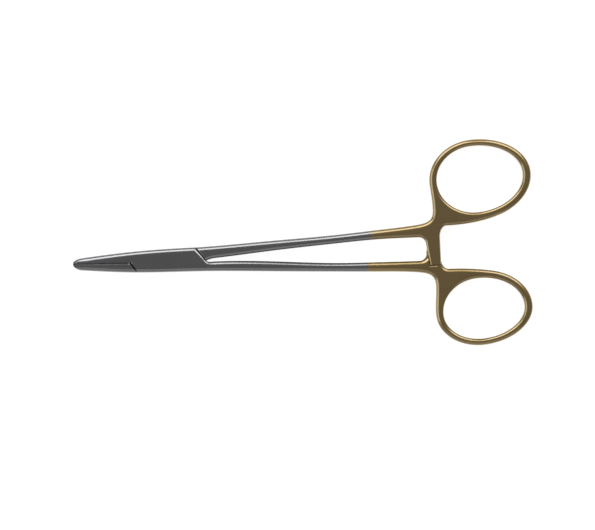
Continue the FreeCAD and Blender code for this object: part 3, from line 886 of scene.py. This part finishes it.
def window(side):
    """Half of the slot that the tongue swings in: a flat pie slice with its point past the pin."""
    swing = OPENING + OPENING_SPARE
    apex = (TONGUE_WIDTH / 2 + TONGUE_SIDE_GAP) / sin(radians(swing / 2))
    centre = heading(TONGUE_LEAN + swing / 2) * -side * apex
    first = TONGUE_LEAN if side > 0 else TONGUE_LEAN + 180
    radius = BOX_REACH + apex + PAST
    angles = np.linspace(first, first + swing, ARC_STEPS + 1)
    arc = [centre + heading(angle) * radius for angle in angles]
    return upright("window", [centre] + arc, TONGUE_THICKNESS / 2 + TONGUE_FACE_GAP)


def insert_slab(side):
    """Block that a jaw insert fills, from the mating face into the jaw."""
    foot = mating_point(side * JAW_GAP / 2) + heading(MATING_BACK) * INSERT_SETBACK
    tip = foot + heading(MATING_BACK) * TIP_REACH
    into = heading(MATING_BACK - 90) * side
    near = into * -INSERT_THICKNESS / 10
    deep = into * INSERT_THICKNESS
    return upright("insert_slab", [foot + near, foot + deep, tip + deep, tip + near],
                   HALF_BOX + PAST)


def arm_cutters(half):
    """Blocks that take half the thickness off at the arm, trim its end and cut its teeth."""
    side = 1 if half == MALE else -1
    inner_end = abs(shank_ends(half)[1][-1][1])
    left = ARM_SIDE_X - ARM_ROOT_WIDTH - ARM_SIDE_GAP
    right = ARM_SIDE_X + ARM_ROOT_WIDTH
    ledge = ARM_REACH + ARM_END_GAP
    root_line = inner_end - ARM_ROOT_RADIUS
    face = -side * ARM_FACE_GAP / 2
    # The female arm keeps the lower half of the thickness and the male arm the upper half
    outside = -side * (HALF_BOX + PAST)
    low, high = sorted((-face, outside))

    def beside_other_arm(y):
        """Where the other arm's left side passes, less the gap; y is away from the axis."""
        other_root = abs(shank_ends(MALE if half == FEMALE else FEMALE)[1][-1][1])
        root_y, foot_y = ARM_ROOT_RADIUS - other_root, ARM_REACH + ARM_END_WIDTH / 2
        share = (y - root_y) / (foot_y - root_y)
        lean = ARM_ROOT_WIDTH - ARM_END_WIDTH
        return ARM_SIDE_X - ARM_ROOT_WIDTH + lean * share - ARM_SIDE_GAP

    relief = [(left, -2 * ledge), (right, -2 * ledge), (right, ledge),
              (beside_other_arm(ledge), ledge), (beside_other_arm(root_line), root_line),
              (left, root_line)]
    tooth_low, tooth_high = -TOOTH_PITCH * TOOTH_COUNT / 2, TOOTH_PITCH * TOOTH_COUNT / 2
    under = -face - side * ARM_FACE_GAP
    profile = [(left, side * tooth_low, under)]
    for tooth in range(TOOTH_COUNT):
        foot = tooth_low + tooth * TOOTH_PITCH
        profile.append((left, side * foot, -face + side * TOOTH_HEIGHT))
        profile.append((left, side * (foot + TOOTH_PITCH), -face))
    profile.append((left, side * tooth_high, under))
    trim_low, trim_high = sorted((-side * ARM_REACH, -side * (ARM_REACH + ledge)))
    return [
        prism("arm_relief", [(x, side * y, low) for x, y in relief], (0, 0, high - low)),
        box("arm_trim", (left, trim_low, -HALF_BOX - PAST), (right, trim_high, HALF_BOX + PAST)),
        prism("tooth_spaces", profile, (right - left, 0, 0)),
    ]


def break_ledge(forging):
    """Breaks the edge of the step that the front arm ends at."""
    place = -ARM_REACH - ARM_END_GAP
    with editing(forging):
        select(forging, "EDGE", lambda edge: all(
            abs(v.co.y - place) < NEAR and v.co.z > RING_HALF_THICKNESS - NEAR
            for v in edge.verts))
        bpy.ops.mesh.bevel(offset=width("ledge"), segments=3)


# Cosines of the tilt up to which a face counts as the mating face, before and after it is cut
FACING = 0.999
NEARLY_FACING = 0.99


def cut_grip(insert, side):
    """Cuts the insert's mating face into a cross-cut grid of low pyramids."""
    shape = bpy.context.scene.needle_holder_shape
    pitch, depth = shape.grip_pitch / MM, shape.grip_depth / MM
    outward = Vector((*(heading(MATING_BACK - 90) * -side), 0))
    along = Vector((*heading(MATING_BACK), 0))
    face = Vector((*mating_point(side * JAW_GAP / 2), 0))
    level = (face - outward * depth).dot(outward)

    def on_floor(f):
        return (f.normal.dot(outward) > NEARLY_FACING
                and abs(f.calc_center_median().dot(outward) - level) < depth / 4)

    reach = TIP_REACH + HALF_BOX
    with editing(insert):
        select(insert, "FACE", lambda f: f.normal.dot(outward) > FACING)
        bpy.ops.mesh.inset(thickness=depth, depth=-depth, use_even_offset=True)
        for lean in (-1, 1):
            across = (along + Vector((0, 0, lean))).normalized()
            middle = face.dot(across)
            for step in range(-int(reach / pitch), int(reach / pitch) + 1):
                select(insert, "FACE", on_floor)
                bpy.ops.mesh.bisect(plane_co=across * (middle + step * pitch), plane_no=across)
        select(insert, "FACE", on_floor)
        bpy.ops.mesh.poke(offset=depth)


class NH_OT_forgings(bpy.types.Operator):
    """Models the female and the male forging and the two jaw inserts"""
    bl_idname = "needle_holder.forgings"
    bl_label = "Forgings and jaw inserts"

    def execute(self, context):
        hole = {half: (hole_path(half), width("hole"), width("hole")) for half in (FEMALE, MALE)}
        female = rounded_plate("female_forging",
                               [outline(female_plan()), outline([hole[FEMALE]])])
        combine(female, below_upper_jaw())
        root_drop = (MATING_DROP - width("seam")) / sin(radians(CHEEK_ANGLE))
        seam_groove(female, -1, -root_drop, BOX_REACH / 2)
        for side in (1, -1):
            combine(female, window(side))
        combine(female, round_bar("cheek_bore", PIN_RADIUS))
        for cutter in arm_cutters(FEMALE):
            combine(female, cutter)
        break_ledge(female)

        male = rounded_plate("male_forging",
                             [outline(upper_shank_plan()), outline([hole[MALE]])])
        for cutter in arm_cutters(MALE):
            combine(male, cutter)
        combine(male, seam_side(1, 270 - CHEEK_ANGLE))
        seam_groove(male, 1, BOX_REACH / 2, BOX_REACH / 2)
        jaw = rounded_plate("lower_jaw", [outline(lower_jaw_plan())])
        combine(jaw, seam_side(-1, 90 - CHEEK_ANGLE))
        seam_groove(jaw, -1, BOX_REACH / 2, BOX_REACH / 2)
        tongue = make_tongue()
        combine(tongue, round_bar("tongue_bore", PIN_RADIUS + PIN_RUNNING_GAP))
        combine(male, tongue, "UNION")
        combine(male, jaw, "UNION")

        materials = {
            FEMALE: plated_steel("satin_steel_gold_plated_lower", FEMALE),
            MALE: plated_steel("satin_steel_gold_plated_upper", MALE),
        }
        carbide = ground_carbide()
        for side, forging, body, node, half in (
                (1, female, "female", "upper_jaw_insert", FEMALE),
                (-1, male, "male", "lower_jaw_insert", MALE)):
            slab = insert_slab(side)
            insert = copy_of(forging, node.replace("_jaw", "") + "_cut")
            combine(insert, slab, "INTERSECT", keep=True)
            combine(forging, slab)
            cut_grip(insert, side)
            finish_piece(insert, body, node, carbide)
            finish_piece(forging, body, half + "_half", materials[half])
        return {"FINISHED"}


class NH_OT_rivet(bpy.types.Operator):
    """Models the box pin, ground flush with both cheeks"""
    bl_idname = "needle_holder.rivet"
    bl_label = "Rivet"

    def execute(self, context):
        rivet = round_bar("rivet", PIN_RADIUS)
        across = PIN_RADIUS + PAST
        combine(rivet, box("rivet_length", (-across, -across, -HALF_BOX),
                           (across, across, HALF_BOX)), "INTERSECT")
        finish_piece(rivet, "female", "box_pin",
                     plated_steel("satin_steel_rivet", FEMALE))
        return {"FINISHED"}


# Materials

# Length over which each half's plating sets in, in millimetres
PLATING_FADE = {FEMALE: 0.3, MALE: 3.0}
# Polishing lines lie about 0.05 mm apart; they are drawn 0.25 mm apart, to show at all
LINE_SPACING = 0.25
LINE_STRETCH = 0.06
CLOUD_SIZE = 4.0
CLOUD_STRETCH = 0.4
CARBIDE_GRAIN = 0.1


def linear(code):
    """Linear colour of an sRGB hex code."""
    values = [int(code[i:i + 2], 16) / 255 for i in (0, 2, 4)]
    return [v / 12.92 if v <= 0.04045 else ((v + 0.055) / 1.055) ** 2.4 for v in values] + [1]


def add_node(tree, kind, settings=None, inputs=None):
    """Adds a node, sets its own settings, and sets or links its inputs."""
    node = tree.nodes.new(kind)
    for key, value in (settings or {}).items():
        setattr(node, key, value)
    for key, value in (inputs or {}).items():
        if isinstance(value, bpy.types.NodeSocket):
            tree.links.new(value, node.inputs[key])
        else:
            node.inputs[key].default_value = value
    return node


def new_material(name):
    """Empty node material with its output."""
    material = bpy.data.materials.new(name)
    material.use_nodes = True
    tree = material.node_tree
    tree.nodes.clear()
    return material, tree, tree.nodes.new("ShaderNodeOutputMaterial")


def streaks(tree, stretch, scale, detail):
    """Noise drawn out along the instrument, as a hand on a polishing wheel leaves it."""
    place = add_node(tree, "ShaderNodeTexCoord").outputs["Object"]
    drawn = add_node(tree, "ShaderNodeMapping", {}, {"Vector": place, "Scale": (stretch, 1, 1)})
    return add_node(tree, "ShaderNodeTexNoise", {}, {
        "Vector": drawn.outputs["Vector"], "Scale": scale, "Detail": detail})


def plated_steel(name, half):
    """Satin stainless steel, wheel-polished, whose ring end is plated gold colour.

    Fine lines along the shanks soften the highlights; the plating is thin and keeps them.
    A clear film over both, as of instrument oil, makes the highlights whiter than the metal.
    """
    finish = bpy.context.scene.needle_holder_finish
    material, tree, output = new_material(name)
    lines = streaks(tree, LINE_STRETCH, 1 / (LINE_SPACING * MM), 3)
    cloud = streaks(tree, CLOUD_STRETCH, 1 / (CLOUD_SIZE * MM), 2)
    place = add_node(tree, "ShaderNodeTexCoord").outputs["Object"]
    x = add_node(tree, "ShaderNodeSeparateXYZ", {}, {"Vector": place}).outputs["X"]
    edge = getattr(finish, half + "_plating")
    reach = PLATING_FADE[half] * MM / 2
    plated = add_node(tree, "ShaderNodeMapRange", {"interpolation_type": "SMOOTHSTEP"}, {
        "Value": x, "From Min": edge - reach, "From Max": edge + reach})

    def tone(light, dark):
        return add_node(tree, "ShaderNodeMix", {"data_type": "RGBA"}, {
            "Factor": cloud.outputs["Fac"], "A": linear(dark), "B": linear(light)})

    steel = tone(finish.steel, finish.steel_dark)
    gold = tone(finish.gold, finish.gold_dark)
    colour = add_node(tree, "ShaderNodeMix", {"data_type": "RGBA"}, {
        "Factor": plated.outputs["Result"],
        "A": steel.outputs["Result"], "B": gold.outputs["Result"]})
    rough = add_node(tree, "ShaderNodeMapRange", {}, {
        "Value": plated.outputs["Result"],
        "To Min": finish.steel_roughness, "To Max": finish.gold_roughness})
    spread = add_node(tree, "ShaderNodeMapRange", {}, {
        "Value": lines.outputs["Fac"], "To Min": -0.03, "To Max": 0.03})
    roughness = add_node(tree, "ShaderNodeMath", {"operation": "ADD"}, {
        0: rough.outputs["Result"], 1: spread.outputs["Result"]})
    bump = add_node(tree, "ShaderNodeBump", {}, {
        "Height": lines.outputs["Fac"], "Strength": 0.025, "Distance": 0.02 * MM})
    shader = add_node(tree, "ShaderNodeBsdfPrincipled", {}, {
        "Base Color": colour.outputs["Result"], "Metallic": 1.0,
        "Roughness": roughness.outputs["Value"], "Normal": bump.outputs["Normal"],
        "Coat Weight": 1.0, "Coat IOR": 2.1, "Coat Roughness": 0.15})
    tree.links.new(shader.outputs["BSDF"], output.inputs["Surface"])
    return material


def ground_carbide():
    """Sintered carbide, ground: duller than the steel, with a fine even grain."""
    finish = bpy.context.scene.needle_holder_finish
    material, tree, output = new_material("ground_sintered_carbide")
    grain = streaks(tree, 1, 1 / (CARBIDE_GRAIN * MM), 2)
    colour = add_node(tree, "ShaderNodeMix", {"data_type": "RGBA"}, {
        "Factor": grain.outputs["Fac"], "A": linear(finish.steel_dark),
        "B": linear(finish.carbide)})
    rough = add_node(tree, "ShaderNodeMapRange", {}, {
        "Value": grain.outputs["Fac"], "To Min": 0.32, "To Max": 0.48})
    shader = add_node(tree, "ShaderNodeBsdfPrincipled", {}, {
        "Base Color": colour.outputs["Result"], "Metallic": 1.0,
        "Roughness": rough.outputs["Result"]})
    tree.links.new(shader.outputs["BSDF"], output.inputs["Surface"])
    return material


# Stage

# How bright the card is by itself to the eye and in the metal; the lamps add the rest
CARD_GLOW = 0.92
CARD_SIZE = 3.0
# Softboxes, all at one distance in metres: bearing in the plan and rise over the card in degrees,
# width and height in metres
LIGHT_DISTANCE = 1.6
LIGHTS = {
    "tip_key": (114, 42, (1.1, 1.0)),
    "ring_key": (59, 42, (0.86, 1.0)),
    "side": (180, 38, (1.3, 1.3)),
    "low": (270, 38, (2.2, 1.4)),
}


def soft_light(name, aim, bearing, rise, size, power):
    """Softbox at a bearing in the plan and a rise over the floor, in degrees, that shines at aim."""
    level = cos(radians(rise))
    away = Vector((*(heading(bearing) * level), sin(radians(rise))))
    data = bpy.data.lights.new(name, "AREA")
    data.shape = "RECTANGLE"
    data.size, data.size_y = size
    data.energy = power
    light = bpy.data.objects.new(name, data)
    light.location = aim + away * LIGHT_DISTANCE
    light.rotation_euler = (-away).to_track_quat("-Z", "Y").to_euler()
    bpy.context.collection.objects.link(light)


def white_table():
    """Plain white card: lit by the lamps, and as white to the eye and in the metal."""
    material, tree, output = new_material("matt_white_card")
    rays = add_node(tree, "ShaderNodeLightPath")
    seen = add_node(tree, "ShaderNodeMath", {"operation": "MAXIMUM"}, {
        0: rays.outputs["Is Camera Ray"], 1: rays.outputs["Is Glossy Ray"]})
    seen = add_node(tree, "ShaderNodeMath", {"operation": "MAXIMUM"}, {
        0: seen.outputs["Value"], 1: rays.outputs["Is Transmission Ray"]})
    strength = add_node(tree, "ShaderNodeMath", {"operation": "MULTIPLY"}, {
        0: seen.outputs["Value"], 1: CARD_GLOW})
    shader = add_node(tree, "ShaderNodeBsdfPrincipled", {}, {
        "Base Color": linear("8A8A8A"), "Roughness": 0.9, "Specular IOR Level": 0.2,
        "Emission Color": (1, 1, 1, 1), "Emission Strength": strength.outputs["Value"]})
    tree.links.new(shader.outputs["BSDF"], output.inputs["Surface"])
    return material


class NH_OT_stage(bpy.types.Operator):
    """Lays the floor and sets the lights, the room and the camera"""
    bl_idname = "needle_holder.stage"
    bl_label = "Stage"

    def execute(self, context):
        stage = context.scene.needle_holder_stage
        centre = Vector((*VIEW_CENTRE, 0)) * MM
        bpy.ops.object.select_all(action="DESELECT")
        bpy.ops.mesh.primitive_plane_add(size=CARD_SIZE, location=(0, 0, cad_box[0][2]))
        floor = context.object
        floor.name = "floor"
        floor.data.materials.append(white_table())

        for name, (bearing, rise, size) in LIGHTS.items():
            soft_light(name, centre, bearing + VIEW_TURN, rise, size, getattr(stage, name))

        world = bpy.data.worlds.new("room")
        context.scene.world = world
        world.use_nodes = True
        background = world.node_tree.nodes["Background"]
        background.inputs["Color"].default_value = linear("FFFFFF")
        background.inputs["Strength"].default_value = stage.room

        camera = bpy.data.cameras.new("camera")
        camera.lens = stage.lens / MM
        camera.clip_end = 20
        viewer = bpy.data.objects.new("camera", camera)
        distance = VIEW_WIDTH * camera.lens / camera.sensor_width * MM
        viewer.location = centre + Vector((0, 0, distance + MIDDLE * MM))
        viewer.rotation_euler = (0, 0, radians(VIEW_TURN))
        context.collection.objects.link(viewer)
        context.scene.camera = viewer
        context.scene.view_settings.view_transform = "Standard"
        return {"FINISHED"}


class NH_PT_panel(bpy.types.Panel):
    """Lists the settings and the steps"""
    bl_idname = "NH_PT_panel"
    bl_label = "Needle holder"
    bl_space_type = "VIEW_3D"
    bl_region_type = "UI"
    bl_category = "Needle holder"

    def draw(self, context):
        for name, kind in GROUPS.items():
            group = getattr(context.scene, "needle_holder_" + name)
            for setting in kind.__annotations__:
                self.layout.prop(group, setting)
        for operator in OPERATORS:
            self.layout.operator(operator.bl_idname)


OPERATORS = (NH_OT_forgings, NH_OT_rivet, NH_OT_stage)
GROUPS = {"shape": NeedleHolderShape, "finish": NeedleHolderFinish, "stage": NeedleHolderStage}
CLASSES = (*GROUPS.values(), *OPERATORS, NH_PT_panel)


def register():
    """Registers the classes and hangs the settings on the scene."""
    for kind in CLASSES:
        bpy.utils.register_class(kind)
    for name, group in GROUPS.items():
        setattr(bpy.types.Scene, "needle_holder_" + name, bpy.props.PointerProperty(type=group))


def unregister():
    """Takes the settings off the scene and unregisters the classes."""
    for name in GROUPS:
        delattr(bpy.types.Scene, "needle_holder_" + name)
    for kind in reversed(CLASSES):
        bpy.utils.unregister_class(kind)


def main():
    """Runs every step in order."""
    register()
    bpy.ops.needle_holder.forgings()
    bpy.ops.needle_holder.rivet()
    bpy.ops.needle_holder.stage()


if __name__ == "__main__":
    main()
